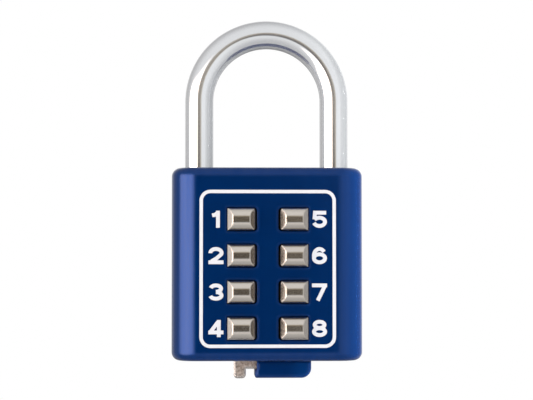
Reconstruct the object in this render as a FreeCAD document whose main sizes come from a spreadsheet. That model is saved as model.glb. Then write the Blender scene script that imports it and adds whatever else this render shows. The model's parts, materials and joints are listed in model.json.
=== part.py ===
import FreeCAD, Part
import math
import os
import re
import Sketcher

# Push-button combination padlock, in millimetres.
# +Z points up to the shackle, the keypad faces -Y and +X is to the right of someone who reads it.
# The origin is the inside of the shackle's crown, in the bar's middle plane, where the lock hangs.

SIZES = {
    # case
    "body_width": 50.0,
    "body_height": 50.4,
    "body_depth": 20.0,
    "front_corner": 6.7,
    "back_edge": 0.6,
    "rim_round": 2.2,
    "front_wall": 2.4,
    "side_wall": 4.5,
    "floor_wall": 3.0,
    "bore_wall": 2.0,
    "bore_play": 0.1,
    "bore_lead": 0.3,
    # shackle
    "bar_dia": 7.4,
    "leg_inset": 7.15,
    "shackle_rise": 32.0,
    "toe_depth": 10.0,
    "toe_play": 0.8,
    "heel_floor": 13.4,
    "lift": 11.0,
    "leg_chamfer": 0.6,
    "ring_height": 4.0,
    "ring_thick": 1.0,
    "ring_seat": 0.8,
    "ring_lip": 0.6,
    "ring_play": 0.2,
    "ring_gap": 2.2,
    "spring_room": 11.0,
    "spring_dia": 6.2,
    "spring_wall": 0.9,
    # keypad
    "column_share": 0.5705,
    "first_row": 13.6,
    "last_row": 8.535,
    "cap_long": 7.2,
    "cap_short": 5.75,
    "cap_round": 0.8,
    "cap_play": 0.2,
    "cap_inner_play": 0.5,
    "cap_outer_play": 0.1,
    "cap_proud": 0.7,
    "crown_flat": 1.3,
    "vault_rise": 1.4,
    "slope_run": 1.35,
    "flange_lip": 0.8,
    "flange_side": 0.35,
    "flange_thick": 1.0,
    "flange_seat": 0.05,
    "pocket_play": 0.3,
    "stem_width": 2.1,
    "stem_past": 1.2,
    "stem_play": 0.1,
    "key_spring_wall": 0.8,
    "key_spring_play": 0.215,
    # slide plate and the two plates that guide it
    "slide_thick": 1.5,
    "plate_gap": 0.25,
    "plate_thick": 1.2,
    "plate_play": 0.25,
    "release_travel": 5.5,
    "latch_drop": 4.6,
    "latch_height": 1.8,
    "latch_bite": 1.25,
    "latch_chamfer": 1.1,
    "notch_play": 0.15,
    "gate_play": 0.35,
    "arm_gap": 1.1,
    "arm_height": 4.2,
    "slot_margin": 1.3,
    "foot_gap": 0.6,
    "tab_left": 8.7,
    "leg_width": 3.2,
    "leg_drop": 4.9,
    "leg_round": 1.0,
    "band_drop": 2.4,
    "tang_inset": 2.9,
    "tang_drop": 3.3,
    "neck_play": 0.2,
    # thumb piece
    "thumb_left": 3.2,
    "thumb_right": 11.6,
    "thumb_drop": 4.6,
    "thumb_gap": 0.25,
    "thumb_depth": 9.0,
    "thumb_notch": 0.55,
    "thumb_round": 2.6,
    "thumb_corner": 0.6,
    "thumb_edge": 0.5,
    # release spring
    "release_spring_dia": 2.8,
    "release_spring_wall": 0.6,
    "release_spring_length": 8.7,
    "release_spring_seat": 1.4,
    "window_play": 0.15,
    # screws, spacers and the lugs that hold the rear cover
    "boss": 3.5,
    "screw_dia": 1.6,
    "screw_play": 0.05,
    "screw_depth": 4.0,
    "head_width": 3.0,
    "head_thick": 1.0,
    "spacer_width": 3.4,
    "top_screw_x": 3.2,
    "top_screw_drop": 7.6,
    "low_screw_inset": 7.2,
    "low_screw_rise": 8.7,
    "lug_width": 2.2,
    "lug_inset": 6.1,
    "lug_top_drop": 6.0,
    "lug_rise": 4.6,
    # rear cover
    "cover_thick": 2.0,
    "cover_border": 2.4,
    "cover_round": 2.0,
    "cover_play": 0.05,
}

# levels along Z
TOP = "(-shackle_rise)"
BOTTOM = f"({TOP} - body_height)"
FLOOR = f"({BOTTOM} + floor_wall)"
TOE_END = f"({TOP} - toe_depth)"
TOE_BORE = f"({TOE_END} - toe_play)"
HEEL_BORE = f"({BOTTOM} + heel_floor)"
HEEL_END = f"({HEEL_BORE} + spring_room)"
RING_LOW = f"({HEEL_END} + ring_height)"
RING_HIGH = f"({RING_LOW} + ring_thick)"
LATCH_HIGH = f"({TOP} - latch_drop)"
LATCH_LOW = f"({LATCH_HIGH} - latch_height)"
HIGHEST_ROW = f"({TOP} - first_row)"
LOWEST_ROW = f"({BOTTOM} + last_row)"
FOOT_HIGH = f"({LOWEST_ROW} - stem_width / 2 - foot_gap)"
FOOT_LOW = f"({FLOOR} + plate_play)"
SPRING_LINE = f"(({FOOT_HIGH} + {FOOT_LOW}) / 2)"
TOP_SCREW = f"({TOP} - top_screw_drop)"

# levels along Y, from the keypad's face to the back
FACE = "(-body_depth / 2)"
EAVE = f"({FACE} - cap_proud)"
WALL_BACK = f"({FACE} + front_wall)"
FLANGE_FRONT = f"({WALL_BACK} + flange_seat)"
FLANGE_BACK = f"({FLANGE_FRONT} + flange_thick)"
SLIDE_FRONT = "(-slide_thick / 2)"
SLIDE_BACK = "(slide_thick / 2)"
GUIDE_BACK = f"({SLIDE_FRONT} - plate_gap)"
GUIDE_FRONT = f"({GUIDE_BACK} - plate_thick)"
REAR_FRONT = f"({SLIDE_BACK} + plate_gap)"
REAR_BACK = f"({REAR_FRONT} + plate_thick)"
STEM_END = f"({REAR_BACK} + stem_past)"
BACK = "(body_depth / 2)"
COVER_FRONT = f"({BACK} - cover_thick)"

# places along X
LEG = "(body_width / 2 - leg_inset)"
BAR = "(bar_dia / 2)"
BORE = "(bar_dia / 2 + bore_play)"
CHAMBER = f"({LEG} - {BORE} - bore_wall)"
COLUMN = f"({CHAMBER} * column_share)"
STEM = "(stem_width / 2)"
NOSE = f"(-({LEG} - {BAR} + latch_bite))"
RING = f"({BAR} + ring_lip)"
LOW_SCREW = "(body_width / 2 - low_screw_inset)"
LOW_SIDE = "(body_width / 2 - side_wall - boss)"
SPRING_RIGHT = f"({LOW_SIDE} - release_spring_seat)"
FOOT_RIGHT = f"({SPRING_RIGHT} - release_spring_length)"
TANG_RIGHT = f"({FOOT_RIGHT} - tang_inset)"
LUG = "(body_width / 2 - lug_inset)"
SLOT_REACH = "(spacer_width / sqrt(3) + stem_play)"
GUIDE_SLOT_LEFT = f"(top_screw_x - release_travel - {SLOT_REACH})"

# the bow's axis, and the pitch of the button rows
BOW = f"({BAR} - {LEG})"
PITCH = f"(({HIGHEST_ROW} - {LOWEST_ROW}) / 3)"

# the sides of the plain sleeve that stands for each coil spring
SLEEVE_SIDES = 8

# how far the cuts over a cap's ends reach, in rises of its vault
PAST_CROWN = 1.2

SCREWS = [
    ("top_screw_x", TOP_SCREW),
    (f"-{LOW_SCREW}", f"{BOTTOM} + low_screw_rise"),
    (LOW_SCREW, f"{BOTTOM} + low_screw_rise"),
]
LUGS = [
    (f"-{LUG}", f"{TOP} - lug_top_drop"),
    (LUG, f"{TOP} - lug_top_drop"),
    (f"-{LUG}", f"{BOTTOM} + lug_rise"),
    (LUG, f"{BOTTOM} + lug_rise"),
]

doc = FreeCAD.newDocument("Padlock")
sheet = doc.addObject("Spreadsheet::Sheet", "Sizes")
for row, (alias, size) in enumerate(SIZES.items(), start=1):
    sheet.set(f"A{row}", alias)
    sheet.set(f"B{row}", str(size))
    sheet.setAlias(f"B{row}", alias)
doc.recompute()

bodies = []


def sized(formula):
    """The formula with each size read from the sheet. A word before a bracket is a function."""
    return re.sub(r"\b([a-z][a-z_]*)\b(?!\()", r"Sizes.\1", formula)


def number(formula):
    return float(sheet.evalExpression(sized(formula)))


def bind(item, name, formula):
    item.setExpression(name, sized(formula))


def new_body(name):
    body = doc.addObject("PartDesign::Body", name)
    body.Label = name
    bodies.append(body)
    return body


def new_sketch(body, plane, level):
    """A sketch on one of the body's own planes. level is its place along the plane's own axis."""
    base = next(item for item in body.Origin.OriginFeatures if item.Role == plane)
    sketch = body.newObject("Sketcher::SketchObject", f"{body.Name}_sketch")
    sketch.AttachmentSupport = [(base, "")]
    sketch.MapMode = "FlatFace"
    offset = f"-({level})" if plane == "XZ_Plane" else level
    bind(sketch, "AttachmentOffset.Base.z", offset)
    return sketch


def pin(sketch, places):
    """Holds each (geometry, end, x, y) at its place from the sketch's origin."""
    rules, formulas = [], []
    for geometry, end, x, y in places:
        rules.append(Sketcher.Constraint("DistanceX", -1, 1, geometry, end, number(x)))
        rules.append(Sketcher.Constraint("DistanceY", -1, 1, geometry, end, number(y)))
        formulas += [x, y]
    first = sketch.ConstraintCount
    sketch.addConstraint(rules)
    for index, formula in enumerate(formulas, start=first):
        bind(sketch, f"Constraints[{index}]", formula)


def set_radius(sketch, geometry, radius):
    index = sketch.addConstraint(Sketcher.Constraint("Radius", geometry, number(radius)))
    bind(sketch, f"Constraints[{index}]", radius)


def circle(sketch, x, y, radius):
    centre = FreeCAD.Vector(number(x), number(y), 0)
    ring = Part.Circle(centre, FreeCAD.Vector(0, 0, 1), number(radius))
    geometry = sketch.addGeometry(ring)
    pin(sketch, [(geometry, 3, x, y)])
    set_radius(sketch, geometry, radius)


def outline(sketch, corners):
    """A closed outline of (x, y) or (x, y, radius) corners. Only square corners are rounded."""
    spots = [(number(corner[0]), number(corner[1])) for corner in corners]
    count = len(corners)
    entry, leave = [], []
    for index, corner in enumerate(corners):
        x, y = corner[:2]
        if len(corner) == 2:
            entry.append((x, y))
            leave.append((x, y))
            continue
        for points, other in ((entry, spots[index - 1]), (leave, spots[(index + 1) % count])):
            reach = [other[axis] - spots[index][axis] for axis in (0, 1)]
            step = [round(part / math.hypot(*reach)) for part in reach]
            points.append((f"{x} + {step[0]} * ({corner[2]})", f"{y} + {step[1]} * ({corner[2]})"))

    def vector(point):
        return FreeCAD.Vector(number(point[0]), number(point[1]), 0)

    lines, places, joins = [], [], []
    for index in range(count):
        follower = (index + 1) % count
        line = sketch.addGeometry(Part.LineSegment(vector(leave[index]), vector(entry[follower])))
        lines.append(line)
        places.append((line, 1, *leave[index]))
        if len(corners[follower]) == 3:
            places.append((line, 2, *entry[follower]))
    for index, corner in enumerate(corners):
        before, after = lines[index - 1], lines[index]
        if len(corner) == 2:
            joins.append(Sketcher.Constraint("Coincident", before, 2, after, 1))
            continue
        start, end = vector(entry[index]), vector(leave[index])
        spot = FreeCAD.Vector(*spots[index], 0)
        centre = start + end - spot
        turn = (start - centre).cross(end - centre).z
        if turn < 0:
            start, end = end, start
        angles = [math.atan2(point.y - centre.y, point.x - centre.x) for point in (start, end)]
        round_part = Part.Circle(centre, FreeCAD.Vector(0, 0, 1), (start - centre).Length)
        arc = sketch.addGeometry(Part.ArcOfCircle(round_part, *angles))
        first, last = (1, 2) if turn > 0 else (2, 1)
        joins.append(Sketcher.Constraint("Coincident", before, 2, arc, first))
        joins.append(Sketcher.Constraint("Coincident", arc, last, after, 1))
        places.append((arc, 0, None, corner[2]))
    sketch.addConstraint(joins)
    pin(sketch, [place for place in places if place[2] is not None])
    for geometry, _, x, radius in places:
        if x is None:
            set_radius(sketch, geometry, radius)


def rectangle(sketch, left, right, low, high, radius=None):
    corners = [(left, low), (right, low), (right, high), (left, high)]
    if radius:
        corners = [(*corner, radius) for corner in corners]
    outline(sketch, corners)


def polygon(sketch, x, y, radius, sides):
    """A regular polygon whose flats lie at the radius."""
    reach = 1 / math.cos(math.pi / sides)
    corners = []
    for index in range(sides):
        turn = math.tau * (index + 0.5) / sides
        across = round(reach * math.cos(turn), 6)
        up = round(reach * math.sin(turn), 6)
        corners.append((f"{x} + ({across}) * ({radius})", f"{y} + ({up}) * ({radius})"))
    outline(sketch, corners)


def feature(body, kind, sketch, length):
    """A pad or pocket of the sketch, over the length."""
    made = body.newObject(f"PartDesign::{kind}", f"{body.Name}_{kind.lower()}")
    made.Profile = sketch
    bind(made, "Length", length)
    sketch.Visibility = False
    return made


def slab(body, front, back, draw):
    """Adds what draw sketches, from y = front to y = back."""
    sketch = new_sketch(body, "XZ_Plane", back)
    draw(sketch)
    return feature(body, "Pad", sketch, f"({back}) - ({front})")


def cut(body, front, back, draw):
    """Takes away what draw sketches, from y = front to y = back."""
    sketch = new_sketch(body, "XZ_Plane", front)
    draw(sketch)
    doc.recompute()
    before = body.Shape.Volume
    made = feature(body, "Pocket", sketch, f"({back}) - ({front})")
    doc.recompute()
    check_cut(body, made, before)
    return made


def check_cut(body, made, before):
    if not made.Shape.Volume < before:
        raise ValueError(f"{made.Name} in {body.Name} takes nothing away")


def round_edges(body, kind, size, chosen):
    """A fillet or chamfer on each edge of the body that chosen picks."""
    doc.recompute()
    base = body.Tip
    names = [f"Edge{index}" for index, edge in enumerate(base.Shape.Edges, start=1) if chosen(edge)]
    if not names:
        raise ValueError(f"no edge of {body.Name} is picked")
    made = body.newObject(f"PartDesign::{kind}", f"{body.Name}_{kind.lower()}")
    made.Base = (base, names)
    bind(made, "Radius" if kind == "Fillet" else "Size", size)
    return made


def same(value, formula):
    return abs(value - number(formula)) < 0.001


def upright(edge):
    box = edge.BoundBox
    return box.XLength < 0.001 and box.YLength < 0.001


def level_at(edge, height):
    box = edge.BoundBox
    return box.ZLength < 0.001 and same(box.ZMin, height)


def across_at(edge, place):
    """True for an edge that lies in the plane y = place."""
    box = edge.BoundBox
    return box.YLength < 0.001 and same(box.YMin, place)


def mechanism_outline(play):
    """The chamber behind the keypad, drawn in by play. It keeps clear of both bores and the lower corners."""
    centre = f"({CHAMBER} - {play})"
    side = f"(body_width / 2 - side_wall - {play})"
    inner = f"({LOW_SIDE} - {play})"
    high = f"({LATCH_HIGH} + plate_play - {play})"
    heel = f"({HEEL_BORE} - bore_wall - {play})"
    toe = f"({TOE_BORE} - bore_wall - {play})"
    low = f"({FLOOR} + {play})"
    step = f"({low} + boss)"
    return [
        (f"-{centre}", high),
        (centre, high),
        (centre, heel),
        (side, heel),
        (side, step),
        (inner, step),
        (inner, low),
        (f"-{inner}", low),
        (f"-{inner}", step),
        (f"-{side}", step),
        (f"-{side}", toe),
        (f"-{centre}", toe),
    ]


def keys():
    """Number, side and height of each button: 1 to 4 down the left column, 5 to 8 down the right."""
    for side, first in ((-1, 1), (1, 5)):
        for row in range(4):
            yield first + row, side, f"({HIGHEST_ROW} - {row} * {PITCH})"


def key_frame(side, height, long, short):
    """The four sides of a rectangle round a button's middle, from the end at the keypad's middle line."""
    middle = f"({side} * {COLUMN})"
    near = f"({middle} - {side} * ({long}) / 2)"
    far = f"({middle} + {side} * ({long}) / 2)"
    return near, far, f"({height} - ({short}) / 2)", f"({height} + ({short}) / 2)"


def vault(sketch, low, high, middle):
    """A cap's section across its length: straight sides, a flat crown, and an arc from each eave to it."""
    run = "(cap_short / 2 - crown_flat / 2)"
    radius = f"(({run}^2 + vault_rise^2) / (2 * vault_rise))"
    crown = f"({EAVE} - vault_rise)"
    upper, lower = f"({middle} + crown_flat / 2)", f"({middle} - crown_flat / 2)"
    corners = [(EAVE, low), (FLANGE_FRONT, low), (FLANGE_FRONT, high), (EAVE, high)]
    corners += [(crown, upper), (crown, lower)]
    points = [FreeCAD.Vector(number(y), number(z), 0) for y, z in corners]
    reach = number(radius)
    turn = math.asin(number(run) / reach)
    centres = [FreeCAD.Vector(points[4].x + reach, point.y, 0) for point in points[4:]]

    def side(start, end):
        return Part.LineSegment(points[start], points[end])

    def shoulder(centre, start, end):
        ring = Part.Circle(centre, FreeCAD.Vector(0, 0, 1), reach)
        return Part.ArcOfCircle(ring, start, end)

    shapes = [
        side(0, 1),
        side(1, 2),
        side(2, 3),
        shoulder(centres[0], math.pi - turn, math.pi),
        side(4, 5),
        shoulder(centres[1], math.pi, math.pi + turn),
    ]
    edges = [sketch.addGeometry(shape) for shape in shapes]
    for before, after in zip(edges, edges[1:] + edges[:1]):
        sketch.addConstraint(Sketcher.Constraint("Coincident", before, 2, after, 1))
    pin(sketch, [(edges[index], 1, *corners[index]) for index in range(6)])
    set_radius(sketch, edges[3], radius)
    set_radius(sketch, edges[5], radius)


def slopes(sketch, near, far, side):
    """What is cut off over both ends of a cap, each end sloping from the eaves towards the crown."""
    rise = f"(vault_rise * {PAST_CROWN})"
    run = f"({side} * slope_run * {PAST_CROWN})"
    for end, inwards in ((near, "+"), (far, "-")):
        out = "-" if inwards == "+" else "+"
        beyond = f"{end} {out} {side} * slope_run"
        crown = f"{EAVE} - {rise}"
        outline(sketch, [(end, EAVE), (f"{end} {inwards} {run}", crown), (beyond, crown), (beyond, EAVE)])


def make_housing():
    body = new_body("housing")
    sketch = new_sketch(body, "XY_Plane", BOTTOM)
    rectangle(sketch, "-body_width / 2", "body_width / 2", FACE, BACK)
    feature(body, "Pad", sketch, "body_height")
    round_edges(body, "Fillet", "front_corner", lambda edge: upright(edge) and same(edge.BoundBox.YMin, FACE))
    round_edges(body, "Fillet", "rim_round", is_rim)
    round_edges(body, "Chamfer", "back_edge", lambda edge: across_at(edge, BACK))
    for side, depth in (("-", f"{TOP} - {TOE_BORE}"), ("", f"{TOP} - {HEEL_BORE}")):
        sketch = new_sketch(body, "XY_Plane", TOP)
        circle(sketch, f"{side}{LEG}", "0", BORE)
        feature(body, "Pocket", sketch, depth)
    round_edges(body, "Chamfer", "bore_lead", is_bore_mouth)
    cut(body, COVER_FRONT, BACK, lambda sketch: cover_outline(sketch, "0"))
    cut(body, GUIDE_FRONT, COVER_FRONT, lambda sketch: outline(sketch, mechanism_outline("0")))
    cut(body, WALL_BACK, GUIDE_FRONT, key_chamber)
    cut(body, FACE, WALL_BACK, key_apertures)
    cut(body, f"-({RING} + ring_play)", COVER_FRONT, ring_chamber)
    cut(body, GUIDE_BACK, COVER_FRONT, latch_window)
    cut(body, f"{SLIDE_FRONT} - neck_play", f"{SLIDE_BACK} + neck_play", neck_slot)
    cut(body, f"{GUIDE_FRONT} - screw_depth", GUIDE_FRONT, screw_holes)
    slab(body, COVER_FRONT, BACK, lugs)


def is_rim(edge):
    """The case's top and bottom edges, without those along its back."""
    return (level_at(edge, TOP) or level_at(edge, BOTTOM)) and not across_at(edge, BACK)


def is_bore_mouth(edge):
    return level_at(edge, TOP) and same(edge.Length / (2 * math.pi), BORE)


def cover_outline(sketch, play):
    half = f"(body_width / 2 - cover_border - {play})"
    low = f"({BOTTOM} + cover_border + {play})"
    high = f"({TOP} - cover_border - {play})"
    rectangle(sketch, f"-{half}", half, low, high, "cover_round")


def key_chamber(sketch):
    half = f"({COLUMN} + cap_long / 2 + flange_lip + pocket_play)"
    reach = "(cap_short / 2 + flange_side + pocket_play)"
    rectangle(sketch, f"-{half}", half, f"{LOWEST_ROW} - {reach}", f"{HIGHEST_ROW} + {reach}")


def key_apertures(sketch):
    for _, side, height in keys():
        near, far, low, high = key_frame(side, height, "cap_long", "cap_short + 2 * cap_play")
        inner = f"{near} - {side} * cap_inner_play"
        outer = f"{far} + {side} * cap_outer_play"
        corner = "cap_round + cap_play"
        outline(sketch, [(inner, low, corner), (outer, low), (outer, high), (inner, high, corner)])


def ring_chamber(sketch):
    reach = f"({RING} + ring_play)"
    low = f"{RING_LOW} - ring_thick"
    rectangle(sketch, f"{LEG} - {reach}", f"{LEG} + {reach}", low, f"{RING_HIGH} + lift")


def latch_window(sketch):
    left = f"{NOSE} - notch_play"
    rectangle(sketch, left, f"-{CHAMBER}", f"{LATCH_LOW} - plate_play", f"{LATCH_HIGH} + plate_play")


def neck_slot(sketch):
    left = "-tab_left - plate_play"
    rectangle(sketch, left, f"{TANG_RIGHT} + release_travel + plate_play", BOTTOM, FLOOR)


def screw_holes(sketch):
    for x, z in SCREWS:
        circle(sketch, x, z, "screw_dia / 2 + screw_play")


def lugs(sketch):
    """Lugs cast with the case, spread flush over the cover that they hold."""
    half = "lug_width / 2"
    for x, z in LUGS:
        rectangle(sketch, f"{x} - {half}", f"{x} + {half}", f"{z} - {half}", f"{z} + {half}")


def make_cover():
    body = new_body("back_cover")
    slab(body, COVER_FRONT, BACK, lambda sketch: cover_outline(sketch, "cover_play"))
    cut(body, COVER_FRONT, BACK, lugs)


def make_shackle():
    body = new_body("shackle")
    sketch = new_sketch(body, "XY_Plane", BOW)
    circle(sketch, LEG, "0", BAR)
    bow = body.newObject("PartDesign::Revolution", "shackle_bow")
    bow.Profile = sketch
    bow.ReferenceAxis = (sketch, ["V_Axis"])
    bow.Angle = 180
    bow.Reversed = True
    for side, end in (("-", TOE_END), ("", HEEL_END)):
        sketch = new_sketch(body, "XY_Plane", end)
        circle(sketch, f"{side}{LEG}", "0", BAR)
        feature(body, "Pad", sketch, f"{BOW} - {end}")
    ends = lambda edge: level_at(edge, TOE_END) or level_at(edge, HEEL_END)
    round_edges(body, "Chamfer", "leg_chamfer", ends)
    cut(body, f"-{BAR}", BAR, latch_notch)
    ring_groove(body)


def latch_notch(sketch):
    """The lower face slopes by the shackle's rise for each step of the slide plate, so the nose clears it."""
    inner = f"({NOSE} - notch_play)"
    outer = f"(-{LEG} + {BAR} + notch_play)"
    run = f"({outer} - {inner})"
    low = f"({LATCH_LOW} - notch_play)"
    high = f"({LATCH_HIGH} + notch_play)"
    fall = f"({run} * lift / release_travel)"
    outline(sketch, [(inner, low), (outer, f"{low} - {fall}"), (outer, f"{high} + {run}"), (inner, high)])


def ring_groove(body):
    """A square groove round the heel leg."""
    sketch = new_sketch(body, "XZ_Plane", "0")
    bind(sketch, "AttachmentOffset.Base.x", LEG)
    rectangle(sketch, f"{BAR} - ring_seat", f"{BAR} + ring_seat", RING_LOW, RING_HIGH)
    doc.recompute()
    before = body.Shape.Volume
    groove = body.newObject("PartDesign::Groove", "shackle_groove")
    groove.Profile = sketch
    groove.ReferenceAxis = (sketch, ["V_Axis"])
    groove.Angle = 360
    doc.recompute()
    check_cut(body, groove, before)


def make_stop_ring():
    body = new_body("stop_ring")
    sketch = new_sketch(body, "XY_Plane", RING_LOW)
    circle(sketch, LEG, "0", RING)
    circle(sketch, LEG, "0", f"{BAR} - ring_seat")
    feature(body, "Pad", sketch, "ring_thick")
    cut(body, "0", RING, ring_opening)


def ring_opening(sketch):
    rectangle(sketch, f"{LEG} - ring_gap / 2", f"{LEG} + ring_gap / 2", RING_LOW, RING_HIGH)


def make_shackle_spring():
    body = new_body("shackle_spring")
    sketch = new_sketch(body, "XY_Plane", HEEL_BORE)
    polygon(sketch, LEG, "0", "spring_dia / 2", SLEEVE_SIDES)
    polygon(sketch, LEG, "0", "spring_dia / 2 - spring_wall", SLEEVE_SIDES)
    feature(body, "Pad", sketch, "spring_room")


def make_button(name, side, height):
    """A cap with a vaulted top and sloping ends, the flange that stops behind the front wall and the stem."""
    body = new_body(name)
    flange = key_frame(side, height, "cap_long + 2 * flange_lip", "cap_short + 2 * flange_side")
    slab(body, FLANGE_FRONT, FLANGE_BACK, lambda sketch: rectangle(sketch, *flange))
    near, far, low, high = key_frame(side, height, "cap_long", "cap_short")
    sketch = new_sketch(body, "YZ_Plane", near if side > 0 else far)
    vault(sketch, low, high, height)
    feature(body, "Pad", sketch, "cap_long")

    def inner_corner(edge):
        box = edge.BoundBox
        along_cap = box.XLength + box.ZLength < 0.001 and box.YLength > number("front_wall")
        return along_cap and same(box.XMin, near)

    round_edges(body, "Fillet", "cap_round", inner_corner)
    sketch = new_sketch(body, "XY_Plane", high)
    slopes(sketch, near, far, side)
    doc.recompute()
    before = body.Shape.Volume
    cut_ends = feature(body, "Pocket", sketch, "cap_short")
    doc.recompute()
    check_cut(body, cut_ends, before)
    stem = key_frame(side, height, "stem_width", "stem_width")
    slab(body, FLANGE_BACK, STEM_END, lambda sketch: rectangle(sketch, *stem))


def make_button_spring(name, side, height):
    body = new_body(name)
    middle = f"({side} * {COLUMN})"
    inner = f"({STEM} * sqrt(2) + key_spring_play)"

    def draw(sketch):
        polygon(sketch, middle, height, f"{inner} + key_spring_wall", SLEEVE_SIDES)
        polygon(sketch, middle, height, inner, SLEEVE_SIDES)

    slab(body, FLANGE_BACK, GUIDE_FRONT, draw)


def make_guide(name, front, back):
    """A plate with a hole for each stem and screw, and a window that holds the release spring."""
    body = new_body(name)
    slab(body, front, back, lambda sketch: outline(sketch, mechanism_outline("plate_play")))

    def openings(sketch):
        for _, side, height in keys():
            hole = "stem_width + 2 * stem_play"
            rectangle(sketch, *key_frame(side, height, hole, hole))
        screw_holes(sketch)
        reach = "(release_spring_dia / 2 + window_play)"
        rectangle(sketch, FOOT_RIGHT, SPRING_RIGHT, f"{SPRING_LINE} - {reach}", f"{SPRING_LINE} + {reach}")

    cut(body, front, back, openings)


def make_spacers():
    """Hexagonal spacers between the two plates, each round its screw."""
    body = new_body("plate_spacers")

    def draw(sketch):
        for x, z in SCREWS:
            polygon(sketch, x, z, "spacer_width / 2", 6)
            circle(sketch, x, z, "screw_dia / 2 + screw_play")

    slab(body, GUIDE_BACK, REAR_FRONT, draw)


def make_screws():
    body = new_body("plate_screws")

    def shanks(sketch):
        for x, z in SCREWS:
            circle(sketch, x, z, "screw_dia / 2")

    def heads(sketch):
        for x, z in SCREWS:
            polygon(sketch, x, z, "head_width / 2", 6)

    slab(body, f"{GUIDE_FRONT} - screw_depth", REAR_BACK, shanks)
    slab(body, REAR_BACK, f"{REAR_BACK} + head_thick", heads)


def slide_outline():
    """One stamping: latch nose, spine, arms between the button rows, foot and tab with a finger leg."""
    spine_left = f"(-({COLUMN} - {STEM} - gate_play))"
    spine_right = f"({COLUMN} - {STEM} - gate_play - release_travel)"
    block_right = "(top_screw_x + spacer_width / 2 + slot_margin)"
    block_left = f"({GUIDE_SLOT_LEFT} - slot_margin)"
    block_low = f"({TOP_SCREW} - spacer_width / 2 - slot_margin)"
    arms = [f"({HIGHEST_ROW} - {row + 0.5} * {PITCH})" for row in range(3)]
    half = "arm_height / 2"
    arm_left = f"(arm_gap - {CHAMBER})"
    arm_right = f"({CHAMBER} - release_travel - arm_gap)"
    right_side, left_side = [], []
    for arm in arms:
        right_side += [
            (spine_right, f"{arm} + {half}"),
            (arm_right, f"{arm} + {half}"),
            (arm_right, f"{arm} - {half}"),
            (spine_right, f"{arm} - {half}"),
        ]
        left_side += [
            (spine_left, f"{arm} + {half}"),
            (arm_left, f"{arm} + {half}"),
            (arm_left, f"{arm} - {half}"),
            (spine_left, f"{arm} - {half}"),
        ]
    left_side.reverse()
    tang_left = "-thumb_left + thumb_notch"
    band_low = f"{BOTTOM} - band_drop"
    leg_low = f"{BOTTOM} - leg_drop"
    return [
        (NOSE, LATCH_LOW),
        (NOSE, f"{LATCH_HIGH} - latch_chamfer"),
        (f"{NOSE} + latch_chamfer", LATCH_HIGH),
        (block_right, LATCH_HIGH),
        (block_right, block_low),
        (spine_right, block_low),
        *right_side,
        (spine_right, FOOT_HIGH),
        (FOOT_RIGHT, FOOT_HIGH),
        (FOOT_RIGHT, FOOT_LOW),
        (TANG_RIGHT, FOOT_LOW),
        (TANG_RIGHT, f"{BOTTOM} - tang_drop"),
        (tang_left, f"{BOTTOM} - tang_drop"),
        (tang_left, band_low),
        ("-tab_left + leg_width", band_low),
        ("-tab_left + leg_width", leg_low, "leg_round"),
        ("-tab_left", leg_low, "leg_round"),
        ("-tab_left", FOOT_HIGH),
        (spine_left, FOOT_HIGH),
        *left_side,
        (spine_left, block_low),
        (block_left, block_low),
        (block_left, LATCH_LOW),
    ]


def make_slide_plate():
    body = new_body("slide_plate")
    slab(body, SLIDE_FRONT, SLIDE_BACK, lambda sketch: outline(sketch, slide_outline()))

    def guide_slot(sketch):
        low = f"{TOP_SCREW} - {SLOT_REACH}"
        high = f"{TOP_SCREW} + {SLOT_REACH}"
        rectangle(sketch, GUIDE_SLOT_LEFT, f"top_screw_x + {SLOT_REACH}", low, high, "leg_round")

    cut(body, SLIDE_FRONT, SLIDE_BACK, guide_slot)


def make_thumb_piece():
    body = new_body("thumb_piece")
    high = f"({BOTTOM} - thumb_gap)"
    low = f"({BOTTOM} - thumb_drop)"
    step = f"({BOTTOM} - band_drop)"
    notch = "(-thumb_left + thumb_notch)"
    grip = [
        (notch, high),
        (notch, step),
        ("-thumb_left", step),
        ("-thumb_left", low, "thumb_corner"),
        ("thumb_right", low, "thumb_round"),
        ("thumb_right", high),
    ]
    slab(body, "-thumb_depth / 2", "thumb_depth / 2", lambda sketch: outline(sketch, grip))

    def rim(edge):
        box = edge.BoundBox
        at_face = across_at(edge, "-thumb_depth / 2") or across_at(edge, "thumb_depth / 2")
        return at_face and (box.ZMin < number(step) - 0.01 or same(box.XMin, "thumb_right"))

    round_edges(body, "Chamfer", "thumb_edge", rim)

    def tang_pocket(sketch):
        rectangle(sketch, notch, TANG_RIGHT, f"{BOTTOM} - tang_drop", high)

    cut(body, SLIDE_FRONT, SLIDE_BACK, tang_pocket)


def make_release_spring():
    body = new_body("release_spring")
    sketch = new_sketch(body, "YZ_Plane", FOOT_RIGHT)
    polygon(sketch, "0", SPRING_LINE, "release_spring_dia / 2", SLEEVE_SIDES)
    polygon(sketch, "0", SPRING_LINE, "release_spring_dia / 2 - release_spring_wall", SLEEVE_SIDES)
    feature(body, "Pad", sketch, "release_spring_length")


def check_and_write():
    doc.recompute()
    for item in doc.Objects:
        if {"Invalid", "Error"} & set(item.State):
            raise ValueError(f"{item.Name} failed: {item.State}")
    for body in bodies:
        if body.Shape.isNull() or not body.Shape.isValid():
            raise ValueError(f"{body.Label} has no valid shape")
    os.makedirs("parts", exist_ok=True)
    for body in bodies:
        body.Shape.exportStep(f"parts/{body.Label}.step")
        print(body.Label, len(body.Shape.Solids), round(body.Shape.Volume, 2))


make_housing()
make_cover()
make_shackle()
make_stop_ring()
make_shackle_spring()
for number_, side_, height_ in keys():
    make_button(f"button_{number_}", side_, height_)
    make_button_spring(f"button_spring_{number_}", side_, height_)
make_guide("guide_plate", GUIDE_FRONT, GUIDE_BACK)
make_guide("rear_plate", REAR_FRONT, REAR_BACK)
make_spacers()
make_screws()
make_slide_plate()
make_thumb_piece()
make_release_spring()
check_and_write()
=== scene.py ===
import json
import math

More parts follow.
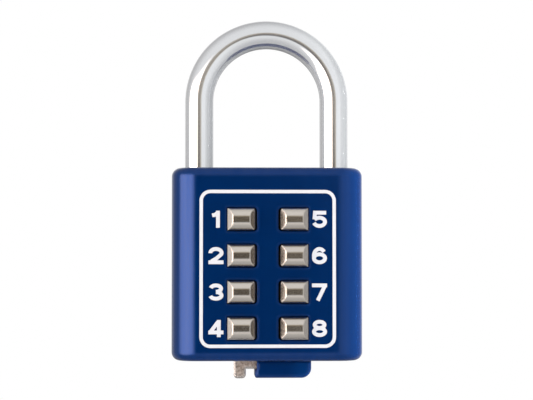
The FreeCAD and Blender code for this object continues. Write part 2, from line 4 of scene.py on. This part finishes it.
import bpy
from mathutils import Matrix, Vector


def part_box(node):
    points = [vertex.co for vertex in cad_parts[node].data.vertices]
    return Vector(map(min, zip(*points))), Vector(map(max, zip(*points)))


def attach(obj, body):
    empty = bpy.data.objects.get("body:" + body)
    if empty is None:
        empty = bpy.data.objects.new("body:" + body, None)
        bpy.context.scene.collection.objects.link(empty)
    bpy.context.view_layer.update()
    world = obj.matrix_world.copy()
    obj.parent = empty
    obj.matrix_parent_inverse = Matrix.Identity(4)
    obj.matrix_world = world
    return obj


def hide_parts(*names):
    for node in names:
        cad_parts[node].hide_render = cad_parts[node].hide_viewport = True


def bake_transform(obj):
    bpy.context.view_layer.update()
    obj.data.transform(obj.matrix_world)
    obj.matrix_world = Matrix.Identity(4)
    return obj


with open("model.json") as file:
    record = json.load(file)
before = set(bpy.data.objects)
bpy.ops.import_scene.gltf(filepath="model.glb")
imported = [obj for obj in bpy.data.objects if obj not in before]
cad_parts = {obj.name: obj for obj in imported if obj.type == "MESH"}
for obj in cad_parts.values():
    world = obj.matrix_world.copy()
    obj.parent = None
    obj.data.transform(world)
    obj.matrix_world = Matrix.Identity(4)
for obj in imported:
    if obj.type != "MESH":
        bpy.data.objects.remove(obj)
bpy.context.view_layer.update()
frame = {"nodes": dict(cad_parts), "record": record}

# Push-button padlock. Metres, in the model's own frame: the origin is the inside of the shackle's
# crown, +Z is up, the keypad faces -Y and +X is to the right of someone who reads it.
MM = 0.001
case_low, case_high = (Vector(corner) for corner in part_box("housing"))
face_y = case_low.y

# print on the keypad's face. DIGIT_LINE is in millimetres, as the digits' strokes are
INK_RISE = 0.03 * MM
INK_ROOT = 0.02 * MM
INK_STEP = 0.003 * MM
FRAME_HALF = 17.7 * MM
FRAME_TOP_DROP = 5.95 * MM
FRAME_LOW_RISE = 3.5 * MM
FRAME_LINE = 0.88 * MM
FRAME_CORNER = 2.8 * MM
DIGIT_X = 13.42 * MM
DIGIT_LINE = 0.98

# coil springs
ALONG_X, ALONG_Y, ALONG_Z = range(3)
WIRE_SIDES = 10
STEPS_PER_TURN = 28

# colours, each as the darker and the lighter end of what the noise gives
ENAMEL = (0.0, 0.024, 0.126), (0.0, 0.028, 0.140)
CHROME = (0.66, 0.68, 0.71), (0.70, 0.72, 0.74)
NICKEL = (0.56, 0.515, 0.465), (0.68, 0.635, 0.585)
GRAINY_STEEL = (0.17, 0.13, 0.11), (0.54, 0.49, 0.45)
STEEL = (0.46, 0.46, 0.46), (0.56, 0.56, 0.55)
SPRING_STEEL = (0.30, 0.30, 0.31), (0.42, 0.42, 0.43)
INK = (0.54, 0.57, 0.62), (0.62, 0.65, 0.69)
PALE_FLOOR = (0.74, 0.74, 0.74), (0.78, 0.78, 0.78)
# painted highlight: the light colour along the tab's edges
EDGE_PAINTED_HIGHLIGHT = (0.50, 0.50, 0.50)
# painted sheen: the lighter blue at the grip's right end, in place of a reflection
GRIP_PAINTED_SHEEN = (0.001, 0.041, 0.195)
# painted shade: the near black put into narrow gaps, where shade falls
GAP_PAINTED_SHADE = (0.004, 0.004, 0.005)
WHITE = (1.0, 1.0, 1.0)
WARM_STRIP = (1.0, 0.81, 0.72)
BROWN_OPENING = (1.0, 0.78, 0.46)

# cosines between the true and the softened normal: off an edge and on one
EDGE_STARTS = 0.99
EDGE_FULL = 0.94

# how far the enamel's edges are softened, and where along X a painted sheen makes the grip lighter
CASE_EDGE = 1.0 * MM
GRIP_EDGE = 1.2 * MM
GRIP_SHEEN_FROM = 5.0 * MM
GRIP_SHEEN_TO = 9.5 * MM

# the photograph's view
TARGET = Vector((0.0, 0.0, -0.0402))
CAMERA_DISTANCE = 0.45
CAMERA_AZIMUTH = math.radians(-1.9)
CAMERA_HEIGHT = -0.058
LENS = 114.6

# light and floor
SIDE_LIGHT_PLACE = Vector((0.9, 0.12, 0.1))
SIDE_LIGHT_SIZE = 0.5
SIDE_LIGHT_WATTS = 37.0
FLOOR_DROP = 0.17
FLOOR_RADIUS = 1.2
FLOOR_SIDES = 64

# the tent: a direction, the degrees off it where a change starts and ends, and the brightness before
# and after the change
SKY = {
    "front": ((0, -1, 0), 130, 50, 0.54, 0.95),
    "back": ((0, 1, 0), 50, 15, 0.0, 0.3),
    "right": ((0.5, -0.87, 0), 28, 8, 0.0, 0.1),
    "right_shade": ((0.98, 0.17, 0), 55, 25, 1.0, 0.72),
    "low_back_shade": ((0, 1, -0.27), 38, 10, 1.0, 0.3),
    "height": ((0, 0, 1), 150, 105, 0.64, 1.0),
    "strip": ((-0.76, -0.65, 0), 41, 26, 0.0, 5.0),
    "strip_top": ((0, 0, 1), 80, 64, 1.0, 0.0),
    "strip_foot": ((0, 0, -1), 72, 60, 1.0, 0.0),
}
# ovals in the tent: the middle, the half width and half height in degrees, the share of them beyond
# which the oval fades, and the brightness inside
OVALS = {
    "lens": ((math.sin(CAMERA_AZIMUTH), -1, -0.045), 11, 11, 0.5, 0.13),
    "opening": ((math.sin(CAMERA_AZIMUTH), -1, 0.08), 24, 14, 0.4, 0.4),
}
# ray depths up to this are first reflections
FIRST_REFLECTION = 2.5


def new_material(name):
    material = bpy.data.materials.new(name)
    material.use_nodes = True
    return material, material.node_tree, material.node_tree.nodes["Principled BSDF"]


def noise(tree, scale, detail=3.0, stretch=(1.0, 1.0, 1.0)):
    """Noise in the piece's own coordinates, with scale in cells per metre, drawn out by stretch."""
    place = tree.nodes.new("ShaderNodeTexCoord")
    mapping = tree.nodes.new("ShaderNodeMapping")
    mapping.inputs["Scale"].default_value = [scale / factor for factor in stretch]
    texture = tree.nodes.new("ShaderNodeTexNoise")
    texture.inputs["Scale"].default_value = 1.0
    texture.inputs["Detail"].default_value = detail
    tree.links.new(place.outputs["Object"], mapping.inputs["Vector"])
    tree.links.new(mapping.outputs["Vector"], texture.inputs["Vector"])
    return texture.outputs["Fac"]


def map_range(tree, value, start, end, low=0.0, high=1.0, smooth=False):
    """The value from start to end laid out from low to high."""
    ranged = tree.nodes.new("ShaderNodeMapRange")
    if smooth:
        ranged.interpolation_type = "SMOOTHSTEP"
    ranged.inputs["From Min"].default_value = start
    ranged.inputs["From Max"].default_value = end
    ranged.inputs["To Min"].default_value = low
    ranged.inputs["To Max"].default_value = high
    tree.links.new(value, ranged.inputs["Value"])
    return ranged.outputs["Result"]


def spread(tree, value, low, high):
    """The value's middle part, from 0.3 to 0.7, laid out from low to high."""
    return map_range(tree, value, 0.3, 0.7, low, high)


def mix_values(tree, share, first, second, data_type="FLOAT"):
    """From first to second as share goes from 0 to 1. Each is a constant or a socket."""
    mix = tree.nodes.new("ShaderNodeMix")
    mix.data_type = data_type
    tree.links.new(share, mix.inputs["Factor"])
    for name, value in (("A", first), ("B", second)):
        if isinstance(value, bpy.types.NodeSocket):
            tree.links.new(value, mix.inputs[name])
        else:
            mix.inputs[name].default_value = value
    return mix.outputs["Result"]


def mix_colours(tree, share, first, second):
    """From the first colour to the second as share goes from 0 to 1."""
    ends = [(*colour, 1.0) if isinstance(colour, tuple) else colour for colour in (first, second)]
    return mix_values(tree, share, *ends, data_type="RGBA")


def openness(tree, reach):
    """1 where the surface lies open, falling to 0 in gaps that are narrow beside the reach."""
    occlusion = tree.nodes.new("ShaderNodeAmbientOcclusion")
    occlusion.samples = 8
    occlusion.inputs["Distance"].default_value = reach
    return spread(tree, occlusion.outputs["AO"], 0.0, 1.0)


def share_along_x(tree, start, end):
    """0 before start and 1 beyond end, along the piece's own X."""
    place = tree.nodes.new("ShaderNodeTexCoord")
    parts = tree.nodes.new("ShaderNodeSeparateXYZ")
    tree.links.new(place.outputs["Object"], parts.inputs["Vector"])
    return map_range(tree, parts.outputs["X"], start, end, smooth=True)


def edge_share(tree, radius):
    """1 along the edges, falling to 0 within the radius from them."""
    bevel = tree.nodes.new("ShaderNodeBevel")
    bevel.inputs["Radius"].default_value = radius
    geometry = tree.nodes.new("ShaderNodeNewGeometry")
    dot = tree.nodes.new("ShaderNodeVectorMath")
    dot.operation = "DOT_PRODUCT"
    tree.links.new(bevel.outputs["Normal"], dot.inputs[0])
    tree.links.new(geometry.outputs["Normal"], dot.inputs[1])
    return map_range(tree, dot.outputs["Value"], EDGE_STARTS, EDGE_FULL)


def add_relief(tree, shader, value, depth, edge, coat=False):
    """Bumps of the given depth, over edges that are softened to the radius edge."""
    bevel = tree.nodes.new("ShaderNodeBevel")
    bevel.inputs["Radius"].default_value = edge
    bump = tree.nodes.new("ShaderNodeBump")
    bump.inputs["Distance"].default_value = depth
    tree.links.new(value, bump.inputs["Height"])
    tree.links.new(bevel.outputs["Normal"], bump.inputs["Normal"])
    tree.links.new(bump.outputs["Normal"], shader.inputs["Normal"])
    if coat:
        tree.links.new(bump.outputs["Normal"], shader.inputs["Coat Normal"])


def make_enamel(name, edge, sheen_span=None):
    """Deep blue lacquer over metal, with a clear coat, faint upright streaks and painted shade that
    turns it near black in narrow gaps.

    The last argument, if given, is a pair of X between which the colour turns lighter: a painted sheen.
    """
    material, tree, shader = new_material(name)
    patches = noise(tree, scale=160.0, detail=1.0)
    colour = mix_colours(tree, patches, *ENAMEL)
    if sheen_span:
        # painted sheen: the colour turns lighter towards the grip's right end, in place of a reflection
        colour = mix_colours(tree, share_along_x(tree, *sheen_span), colour, GRIP_PAINTED_SHEEN)
    # painted shade: the colour turns near black in narrow gaps, where shade falls
    colour = mix_colours(tree, openness(tree, 0.8 * MM), GAP_PAINTED_SHADE, colour)
    tree.links.new(colour, shader.inputs["Base Color"])
    streaks = noise(tree, scale=550.0, detail=1.0, stretch=(1.0, 1.0, 40.0))
    tree.links.new(spread(tree, streaks, 0.7, 1.0), shader.inputs["Coat Weight"])
    tree.links.new(spread(tree, patches, 0.20, 0.23), shader.inputs["Roughness"])
    shader.inputs["Metallic"].default_value = 0.55
    shader.inputs["Specular IOR Level"].default_value = 0.0
    shader.inputs["Coat IOR"].default_value = 1.32
    shader.inputs["Coat Roughness"].default_value = 0.06
    add_relief(tree, shader, streaks, depth=0.02 * MM, edge=edge, coat=True)
    return material


def make_chrome():
    """Mirror plate with a very slight unevenness."""
    material, tree, shader = new_material("chrome")
    shader.inputs["Metallic"].default_value = 0.86
    patches = noise(tree, scale=90.0, detail=1.0)
    tree.links.new(mix_colours(tree, patches, *CHROME), shader.inputs["Base Color"])
    tree.links.new(spread(tree, patches, 0.055, 0.075), shader.inputs["Roughness"])
    return material


def make_metal(name, colours, rough, grain):
    """A bare metal with a fine grain, of grain cells per metre."""
    material, tree, shader = new_material(name)
    shader.inputs["Metallic"].default_value = 1.0
    grains = spread(tree, noise(tree, scale=grain, detail=4.0), 0.0, 1.0)
    tree.links.new(mix_colours(tree, grains, *colours), shader.inputs["Base Color"])
    tree.links.new(spread(tree, grains, rough - 0.04, rough + 0.04), shader.inputs["Roughness"])
    add_relief(tree, shader, grains, depth=0.002 * MM, edge=0.08 * MM)
    return material


def make_nickel():
    """Satin plate with soft edges, with painted shade that turns it near black where the caps go down
    into the case.
    """
    material, tree, shader = new_material("nickel")
    shader.inputs["Metallic"].default_value = 1.0
    grains = noise(tree, scale=6500.0, detail=4.0)
    colour = mix_colours(tree, grains, *NICKEL)
    # painted shade: near black in the narrow gaps round the caps, where shade falls
    colour = mix_colours(tree, openness(tree, 1.4 * MM), GAP_PAINTED_SHADE, colour)
    tree.links.new(colour, shader.inputs["Base Color"])
    tree.links.new(spread(tree, grains, 0.12, 0.18), shader.inputs["Roughness"])
    add_relief(tree, shader, grains, depth=0.006 * MM, edge=0.45 * MM)
    return material


def make_grainy_steel():
    """Coarse mottled steel, smooth along its edges, with a painted highlight that makes them lighter."""
    material, tree, shader = new_material("grainy_steel")
    shader.inputs["Metallic"].default_value = 1.0
    grains = spread(tree, noise(tree, scale=1300.0, detail=5.0), 0.0, 1.0)
    edges = edge_share(tree, 1.8 * MM)
    mottled = mix_colours(tree, grains, *GRAINY_STEEL)
    # painted highlight: the colour turns lighter along the edges
    tree.links.new(mix_colours(tree, edges, mottled, EDGE_PAINTED_HIGHLIGHT), shader.inputs["Base Color"])
    rough = mix_values(tree, edges, spread(tree, grains, 0.34, 0.46), 0.22)
    tree.links.new(rough, shader.inputs["Roughness"])
    add_relief(tree, shader, grains, depth=0.05 * MM, edge=0.8 * MM)
    return material


def make_ink():
    """White print, a little uneven."""
    material, tree, shader = new_material("white_ink")
    colour = mix_colours(tree, noise(tree, scale=2500.0), *INK)
    tree.links.new(colour, shader.inputs["Base Color"])
    shader.inputs["Roughness"].default_value = 0.45
    return material


def make_floor():
    material, tree, shader = new_material("pale_floor")
    colour = mix_colours(tree, noise(tree, scale=12.0), *PALE_FLOOR)
    tree.links.new(colour, shader.inputs["Base Color"])
    shader.inputs["Roughness"].default_value = 0.9
    return material


def dress_nodes(materials):
    """Gives each node of the frame the material that its record slot names."""
    for part in frame["record"]["subparts"]:
        for holder in frame["nodes"][part["node"]].material_slots:
            holder.material = materials[part["material_slot"]]


def add_mesh(name, vertices, faces, material, smooth=False):
    mesh = bpy.data.meshes.new(name)
    mesh.from_pydata([tuple(vertex) for vertex in vertices], [], faces)
    mesh.materials.append(material)
    mesh.polygons.foreach_set("use_smooth", [smooth] * len(mesh.polygons))
    mesh.update()
    piece = bpy.data.objects.new(name, mesh)
    bpy.context.scene.collection.objects.link(piece)
    return piece


def arc(x, z, across, up, start, end, steps=18):
    """Points of an elliptical arc, with angles in degrees from +X towards +Z."""
    angles = [math.radians(start + (end - start) * step / steps) for step in range(steps + 1)]
    return [(x + across * math.cos(angle), z + up * math.sin(angle)) for angle in angles]


def side_steps(points, closed):
    """For each point, the step to the left that keeps a line of width 1 even round corners."""
    steps = []
    count = len(points)
    for index, point in enumerate(points):
        before = points[index - 1] if closed or index else None
        after = points[(index + 1) % count] if closed or index < count - 1 else None
        runs = [(Vector(point) - Vector(before)).normalized()] if before else []
        runs += [(Vector(after) - Vector(point)).normalized()] if after else []
        along = sum(runs, Vector((0.0, 0.0))).normalized()
        steps.append(Vector((-along.y, along.x)) / (2 * along.dot(runs[0])))
    return steps


def add_ribbon(solid, points, width, level, closed=False):
    """Adds a flat printed line along the (x, z) points to solid, which is a pair of lists."""
    vertices, faces = solid
    first = len(vertices)
    root = face_y + INK_ROOT
    top = face_y - INK_RISE - level * INK_STEP
    for point, step in zip(points, side_steps(points, closed)):
        for side in (0.5, -0.5):
            x, z = Vector(point) + step * 2 * side * width
            vertices += [(x, top, z), (x, root, z)]
    count = len(points)
    for index in range(count if closed else count - 1):
        a = first + 4 * index
        b = first + 4 * ((index + 1) % count)
        faces += [(a, a + 2, b + 2, b), (b + 1, b + 3, a + 3, a + 1)]
        faces += [(b, b + 1, a + 1, a), (a + 2, a + 3, b + 3, b + 2)]
    if not closed:
        last = first + 4 * (count - 1)
        faces += [(first, first + 1, first + 3, first + 2), (last + 2, last + 3, last + 1, last)]


def print_piece(name, strokes, material):
    """One printed piece from strokes of (points in metres, width, closed)."""
    solid = ([], [])
    for level, (points, width, closed) in enumerate(strokes):
        add_ribbon(solid, points, width, level, closed)
    piece = add_mesh(name, *solid, material)
    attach(piece, "case")


def digit_strokes():
    """Each digit's strokes in millimetres round its middle: the points, and whether they close."""
    w, h = 1.45, 1.72
    full = h + DIGIT_LINE / 2
    return {
        1: [([(0.5, full), (0.5, -full)], False), ([(-1.0, 1.0), (-0.2, 1.15), (0.5, 1.8)], False)],
        2: [
            (arc(0, 0.72, w, h - 0.72, 185, -25) + [(0.1, -0.75), (-w + 0.25, -1.5)], False),
            ([(-w - 0.5, -h), (w + 0.5, -h)], False),
        ],
        3: [
            (arc(0, 0.9, w - 0.12, h - 0.9, 170, -90), False),
            (arc(0, -0.87, w, h - 0.87, 90, -170), False),
        ],
        4: [
            ([(0.75, full), (0.75, -full)], False),
            ([(0.55, h), (-w, -0.95)], False),
            ([(-w - 0.5, -1.0), (w + 0.5, -1.0)], False),
        ],
        5: [
            ([(w + 0.3, h), (-w + 0.35, h)], False),
            ([(-w + 0.35, full), (-w + 0.15, 0.0)], False),
            (arc(0, -0.65, w, h - 0.65, 150, -165), False),
        ],
        6: [
            (arc(0, -0.68, w, h - 0.68, 0, 342, 30), True),
            (arc(0, 0, w, h, 200, 35), False),
        ],
        7: [([(-w - 0.5, h), (w + 0.5, h)], False), ([(w, h), (-0.45, -full)], False)],
        8: [
            (arc(0, 0.92, w - 0.18, h - 0.92, 0, 342, 30), True),
            (arc(0, -0.84, w, h - 0.84, 0, 342, 30), True),
        ],
    }


def add_print(ink):
    for number, strokes in digit_strokes().items():
        low, high = (Vector(corner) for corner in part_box(f"button_{number}"))
        middle_z = (low.z + high.z) / 2
        middle_x = -DIGIT_X if number < 5 else DIGIT_X
        placed = []
        for points, closed in strokes:
            spots = [(middle_x + x * MM, middle_z + z * MM) for x, z in points]
            placed.append((spots, DIGIT_LINE * MM, closed))
        print_piece(f"digit_{number}", placed, ink)
    half = FRAME_HALF - FRAME_LINE / 2
    top = case_high.z - FRAME_TOP_DROP - FRAME_LINE / 2
    low = case_low.z + FRAME_LOW_RISE + FRAME_LINE / 2
    corner = FRAME_CORNER - FRAME_LINE / 2
    points = []
    for x, z, start in (
        (half - corner, top - corner, 0),
        (corner - half, top - corner, 90),
        (corner - half, low + corner, 180),
        (half - corner, low + corner, 270),
    ):
        points += arc(x, z, corner, corner, start, start + 90, 8)
    print_piece("frame_line", [(points, FRAME_LINE, True)], ink)


def add_coil(name, start, end, radius, wire, turns, material):
    """A coil spring from start to end. radius is the wire's middle from the axis."""
    axis = (end - start).normalized()
    side = axis.orthogonal().normalized()
    up = axis.cross(side)
    length = (end - start).length - 2 * wire
    steps = round(turns * STEPS_PER_TURN)
    vertices, faces = [], []
    for step in range(steps + 1):
        turn = math.tau * turns * step / steps
        outward = side * math.cos(turn) + up * math.sin(turn)
        centre = start + axis * (wire + length * step / steps) + outward * radius
        for corner in range(WIRE_SIDES):
            angle = math.tau * corner / WIRE_SIDES
            vertices.append(centre + (outward * math.cos(angle) + axis * math.sin(angle)) * wire)
    for step in range(steps):
        for corner in range(WIRE_SIDES):
            follower = (corner + 1) % WIRE_SIDES
            a, b = step * WIRE_SIDES, (step + 1) * WIRE_SIDES
            faces.append((a + corner, a + follower, b + follower, b + corner))
    faces.append(tuple(reversed(range(WIRE_SIDES))))
    faces.append(tuple(steps * WIRE_SIDES + corner for corner in range(WIRE_SIDES)))
    return add_mesh(name, vertices, faces, material, smooth=True)


def add_spring(node, along, wire, turns, material):
    """A coil in place of a sleeve node, between the case and the body that works it.

    along is the coil's axis, and wire is the wire's radius.
    """
    low, high = (Vector(corner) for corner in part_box(node))
    middle = (low + high) / 2
    starts, ends = middle.copy(), middle.copy()
    starts[along], ends[along] = low[along], high[along]
    across = (along + 1) % 3
    radius = (high[across] - low[across]) / 2 - wire
    coil = add_coil(node.replace("spring", "coil"), starts, ends, radius, wire, turns, material)
    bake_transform(coil)
    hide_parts(node)


def add_springs(material):
    for number in range(1, 9):
        name, body = f"button_spring_{number}", f"key_{number}"
        add_spring(name, ALONG_Y, wire=0.3 * MM, turns=3.25, material=material)
    add_spring("release_spring", ALONG_X, wire=0.2 * MM, turns=7.5, material=material)
    add_spring("shackle_spring", ALONG_Z, wire=0.4 * MM, turns=8.5, material=material)


def add_floor():
    """A round floor well below the lock, which hangs. Metals don't reflect it."""
    level = case_low.z - FLOOR_DROP
    turns = [math.tau * index / FLOOR_SIDES for index in range(FLOOR_SIDES)]
    rim = [(FLOOR_RADIUS * math.cos(turn), FLOOR_RADIUS * math.sin(turn), level) for turn in turns]
    floor = add_mesh("floor", rim, [tuple(range(FLOOR_SIDES))], make_floor())
    floor.visible_glossy = False


def vector_math(tree, operation, first, second=None):
    node = tree.nodes.new("ShaderNodeVectorMath")
    node.operation = operation
    tree.links.new(first, node.inputs[0])
    if second is not None:
        node.inputs[1].default_value = second
    return node.outputs


def combine(tree, operation, *values):
    """All values taken together by one operation."""
    total = values[0]
    for value in values[1:]:
        node = tree.nodes.new("ShaderNodeMath")
        node.operation = operation
        tree.links.new(total, node.inputs[0])
        tree.links.new(value, node.inputs[1])
        total = node.outputs["Value"]
    return total


def sky_share(tree, look, name):
    """The brightness that an entry of SKY gives, from the direction of the look."""
    direction, start, end, before, after = SKY[name]
    dot = vector_math(tree, "DOT_PRODUCT", look, Vector(direction).normalized())["Value"]
    turns = [math.cos(math.radians(angle)) for angle in (start, end)]
    return map_range(tree, dot, *turns, before, after, smooth=True)


def sky_oval(tree, look, name):
    """The brightness that an entry of OVALS gives: 1 outside, and less inside."""
    middle, half_width, half_height, full, inside = OVALS[name]
    stretch = (1 / math.radians(half_width), 1.0, 1 / math.radians(half_height))
    offset = vector_math(tree, "SUBTRACT", look, middle)["Vector"]
    scaled = vector_math(tree, "MULTIPLY", offset, stretch)["Vector"]
    length = vector_math(tree, "LENGTH", scaled)["Value"]
    return map_range(tree, length, full, 1.0, inside, 1.0, smooth=True)


def add_background(tree, colour, strength=None):
    background = tree.nodes.new("ShaderNodeBackground")
    if isinstance(colour, tuple):
        background.inputs["Color"].default_value = (*colour, 1.0)
    else:
        tree.links.new(colour, background.inputs["Color"])
    if strength is not None:
        tree.links.new(strength, background.inputs["Strength"])
    return background.outputs["Background"]


def light_tent(tree, path):
    """The tent's light: white all round, with a warm strip at the left.

    It is dimmer below and at the right, and dark and brown where the camera looks in. The strip shows in
    first reflections only, so that no metal throws a second one on its neighbour.
    """
    look = tree.nodes.new("ShaderNodeTexCoord").outputs["Generated"]
    sky = {name: sky_share(tree, look, name) for name in SKY}
    lens, opening = (sky_oval(tree, look, name) for name in ("lens", "opening"))
    first = tree.nodes.new("ShaderNodeMath")
    first.operation = "LESS_THAN"
    first.inputs[1].default_value = FIRST_REFLECTION
    tree.links.new(path.outputs["Ray Depth"], first.inputs[0])
    shades = combine(tree, "MULTIPLY", sky["height"], sky["right_shade"], lens, opening)
    white = combine(tree, "ADD", sky["front"], sky["back"], sky["right"])
    white = combine(tree, "MULTIPLY", white, sky["low_back_shade"], shades)
    strip = combine(tree, "MULTIPLY", sky["strip"], sky["strip_top"], sky["strip_foot"])
    strip = combine(tree, "MULTIPLY", strip, first.outputs["Value"], shades)
    lights = tree.nodes.new("ShaderNodeAddShader")
    tint = mix_colours(tree, opening, BROWN_OPENING, WHITE)
    tree.links.new(add_background(tree, tint, white), lights.inputs[0])
    tree.links.new(add_background(tree, WARM_STRIP, strip), lights.inputs[1])
    return lights.outputs["Shader"]


def add_world():
    """The tent lights the lock, before a plain white backdrop."""
    world = bpy.data.worlds.new("tent")
    bpy.context.scene.world = world
    world.use_nodes = True
    tree = world.node_tree
    tree.nodes.clear()
    path = tree.nodes.new("ShaderNodeLightPath")
    mix = tree.nodes.new("ShaderNodeMixShader")
    output = tree.nodes.new("ShaderNodeOutputWorld")
    tree.links.new(path.outputs["Is Camera Ray"], mix.inputs["Fac"])
    tree.links.new(light_tent(tree, path), mix.inputs[1])
    tree.links.new(add_background(tree, WHITE), mix.inputs[2])
    tree.links.new(mix.outputs["Shader"], output.inputs["Surface"])


def add_side_light():
    """A soft light from the right and a little behind, which shows in no reflection."""
    data = bpy.data.lights.new("side_light", "AREA")
    data.shape = "DISK"
    data.size = SIDE_LIGHT_SIZE
    data.energy = SIDE_LIGHT_WATTS
    light = bpy.data.objects.new("side_light", data)
    bpy.context.scene.collection.objects.link(light)
    light.location = SIDE_LIGHT_PLACE
    light.rotation_euler = (TARGET - light.location).to_track_quat("-Z", "Y").to_euler()
    light.visible_glossy = False
    light.visible_camera = False


def add_camera():
    data = bpy.data.cameras.new("camera")
    data.lens = LENS
    data.clip_start = 0.01
    camera = bpy.data.objects.new("camera", data)
    bpy.context.scene.collection.objects.link(camera)
    camera.location = (
        CAMERA_DISTANCE * math.sin(CAMERA_AZIMUTH),
        -CAMERA_DISTANCE * math.cos(CAMERA_AZIMUTH),
        CAMERA_HEIGHT,
    )
    camera.rotation_euler = (TARGET - camera.location).to_track_quat("-Z", "Y").to_euler()
    bpy.context.scene.camera = camera


materials = {
    "blue_enamel": make_enamel("blue_enamel", CASE_EDGE),
    "chrome": make_chrome(),
    "nickel": make_nickel(),
    "grainy_steel": make_grainy_steel(),
    "steel": make_metal("steel", STEEL, rough=0.28, grain=6000.0),
    "spring_steel": make_metal("spring_steel", SPRING_STEEL, rough=0.3, grain=8000.0),
}
dress_nodes(materials)
for holder in frame["nodes"]["thumb_piece"].material_slots:
    holder.material = make_enamel("grip_enamel", GRIP_EDGE, (GRIP_SHEEN_FROM, GRIP_SHEEN_TO))
add_print(make_ink())
add_springs(materials["spring_steel"])
add_floor()
add_world()
add_side_light()
add_camera()
bpy.context.scene.view_settings.view_transform = "Standard"
